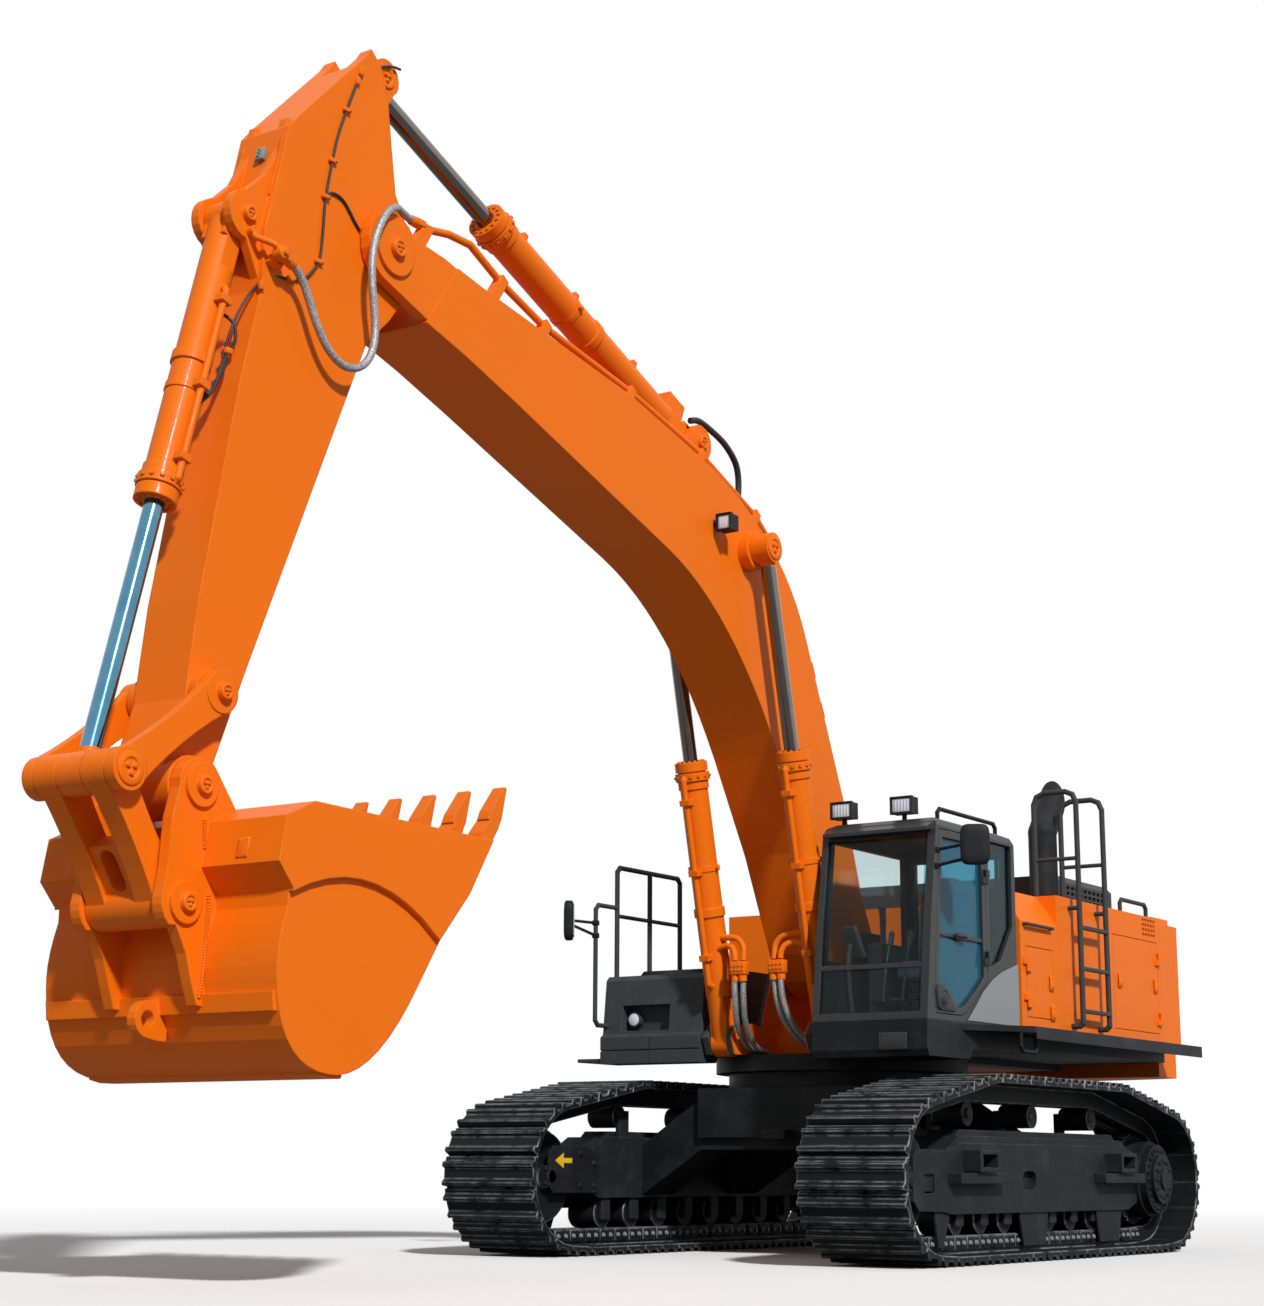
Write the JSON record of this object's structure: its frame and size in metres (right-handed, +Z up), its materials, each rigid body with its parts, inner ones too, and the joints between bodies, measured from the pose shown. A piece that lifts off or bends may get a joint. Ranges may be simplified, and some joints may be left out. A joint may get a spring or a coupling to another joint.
{
  "type": "crawler excavator",
  "caption": "Tracked hydraulic excavator with a cab, swinging upper body, boom, arm and toothed bucket worked by cylinders and links.",
  "frame": {"origin": "on the swing axis at the ground under the tracks", "axes": "+X forward along the boom, +Y to the left (cab side), +Z up"},
  "size_m": [13.0674, 4.31, 8.2654],
  "materials": {
    "hose_braid": "satin",
    "pale_paint": "satin",
    "orange_paint": "gloss",
    "dark_paint": "satin",
    "track_steel": "matte",
    "black_metal": "satin",
    "rod_chrome": "polished",
    "tooth_steel": "matte",
    "tinted_glass": "gloss",
    "seat_fabric": "matte",
    "cab_plastic": "satin"
  },
  "bodies": {
    "undercarriage": {"car_body": "track_steel", "track_frames": "track_steel", "track_left": "track_steel", "track_right": "track_steel", "idlers": "track_steel", "sprockets": "track_steel", "final_drives": "track_steel", "bottom_rollers": "track_steel", "carrier_rollers": "track_steel", "track_steps": "track_steel", "swing_ring_lower": "track_steel"},
    "upper": {"swing_ring_upper": "track_steel", "revolving_frame": "dark_paint", "counterweight": "orange_paint", "side_housings": "orange_paint", "engine_block": "dark_paint", "exhaust_stack": "black_metal", "tool_box": "dark_paint", "fuel_tank": "dark_paint", "catwalks": "dark_paint", "ladder": "dark_paint", "handrails": "dark_paint", "cab_base": "dark_paint", "cab_panel": "pale_paint", "cab_shell": "dark_paint", "cab_glass": "tinted_glass", "seat": "seat_fabric", "cab_controls": "cab_plastic", "cab_lamps": "black_metal", "roof_rail": "black_metal", "mirrors": "black_metal"},
    "hood": {"engine_hood": "dark_paint"},
    "cab_door": {"cab_door": "dark_paint", "cab_door_glass": "tinted_glass"},
    "left_front_door": {"left_front_door": "orange_paint"},
    "left_rear_door": {"left_rear_door": "orange_paint"},
    "right_door": {"right_door": "orange_paint"},
    "boom": {"boom": "orange_paint", "boom_pipes": "orange_paint", "boom_lamp": "black_metal", "arm_hose_left": "hose_braid", "arm_hose_right": "hose_braid"},
    "boom_barrels": {"boom_cylinder_barrels": "orange_paint"},
    "boom_rods": {"boom_cylinder_rods": "rod_chrome"},
    "arm_barrel": {"arm_cylinder_barrel": "orange_paint"},
    "arm_rod": {"arm_cylinder_rod": "rod_chrome"},
    "arm": {"arm": "orange_paint"},
    "bucket_barrel": {"bucket_cylinder_barrel": "orange_paint"},
    "bucket_rod": {"bucket_cylinder_rod": "rod_chrome"},
    "side_links": {"side_links": "orange_paint"},
    "h_link": {"h_link": "orange_paint"},
    "bucket": {"bucket": "orange_paint", "bucket_teeth": "tooth_steel"}
  },
  "joints": [
    {"name": "swing", "type": "hinge", "parent": "undercarriage", "child": "upper", "pos_m": [0, 0, 1.5], "axis": [0, 0, 1], "continuous": true},
    {"name": "boom_lift", "type": "hinge", "parent": "upper", "child": "boom", "pos_m": [0.2, 0, 2.45], "axis": [0, -1, 0], "range_deg": [-72, 25]},
    {"name": "arm_crowd", "type": "hinge", "parent": "boom", "child": "arm", "pos_m": [6.6665, 0, 6.8117], "axis": [0, 1, 0], "range_deg": [-65, 40]},
    {"name": "bucket_curl", "type": "hinge", "parent": "arm", "child": "bucket", "pos_m": [8.3526, 0, 2.8778], "axis": [0, 1, 0], "range_deg": [-140, 12]},
    {"name": "cab_door_hinge", "type": "hinge", "parent": "upper", "child": "cab_door", "pos_m": [0.6, 1.72, 2.5], "axis": [0, 0, 1], "range_deg": [0, 120]},
    {"name": "left_front_door_hinge", "type": "hinge", "parent": "upper", "child": "left_front_door", "pos_m": [-0.16, 1.72, 2.26], "axis": [0, 0, -1], "range_deg": [0, 90]},
    {"name": "left_rear_door_hinge", "type": "hinge", "parent": "upper", "child": "left_rear_door", "pos_m": [-3.12, 1.72, 2.36], "axis": [0, 0, 1], "range_deg": [0, 100]},
    {"name": "right_door_hinge", "type": "hinge", "parent": "upper", "child": "right_door", "pos_m": [-3.12, -1.72, 2.36], "axis": [0, 0, -1], "range_deg": [0, 100]},
    {"name": "hood_hinge", "type": "hinge", "parent": "upper", "child": "hood", "pos_m": [-3.172, 0, 3.07], "axis": [0, -1, 0], "range_deg": [0, 60]},
    {"name": "boom_barrel_pivot", "type": "hinge", "parent": "upper", "child": "boom_barrels", "pos_m": [1.11, 0, 1.745], "axis": [0, -1, 0], "range_deg": [-72.6, 25.9]},
    {"name": "boom_rod_slide", "type": "slide", "parent": "boom_barrels", "child": "boom_rods", "axis": [0.2319, 0, 0.9727], "range_m": [-1.306, 0.46]},
    {"name": "arm_barrel_pivot", "type": "hinge", "parent": "boom", "child": "arm_barrel", "pos_m": [2.5659, 0, 6.5427], "axis": [0, -1, 0], "range_deg": [-2.7, 3.8]},
    {"name": "arm_rod_slide", "type": "slide", "parent": "arm_barrel", "child": "arm_rod", "axis": [0.9324, 0, 0.3615], "range_m": [-1.337, 0.827]},
    {"name": "bucket_barrel_pivot", "type": "hinge", "parent": "arm", "child": "bucket_barrel", "pos_m": [7.9513, 0, 6.6443], "axis": [0, -1, 0], "range_deg": [-1.9, 10.9]},
    {"name": "bucket_rod_slide", "type": "slide", "parent": "bucket_barrel", "child": "bucket_rod", "axis": [0.2498, 0, -0.9683], "range_m": [-1.322, 0.122]},
    {"name": "side_link_pivot", "type": "hinge", "parent": "arm", "child": "side_links", "pos_m": [8.2001, 0, 3.462], "axis": [0, -1, 0], "range_deg": [-8.8, 91.4]},
    {"name": "h_link_pivot", "type": "hinge", "parent": "bucket", "child": "h_link", "pos_m": [8.4446, 0, 2.1828], "axis": [0, -1, 0], "range_deg": [-107.1, 10.1]}
  ],
  "couplings": [
    {"joint": "boom_barrel_pivot", "follows": "boom_lift", "ratio": 0.995},
    {"joint": "boom_rod_slide", "follows": "boom_lift", "m_per_rad": 1.031},
    {"joint": "arm_barrel_pivot", "follows": "arm_crowd", "ratio": -0.043},
    {"joint": "arm_rod_slide", "follows": "arm_crowd", "m_per_rad": 1.17},
    {"joint": "bucket_barrel_pivot", "follows": "bucket_curl", "ratio": -0.071},
    {"joint": "bucket_rod_slide", "follows": "bucket_curl", "m_per_rad": 0.537},
    {"joint": "side_link_pivot", "follows": "bucket_curl", "ratio": -0.646},
    {"joint": "h_link_pivot", "follows": "bucket_curl", "ratio": 0.758}
  ]
}
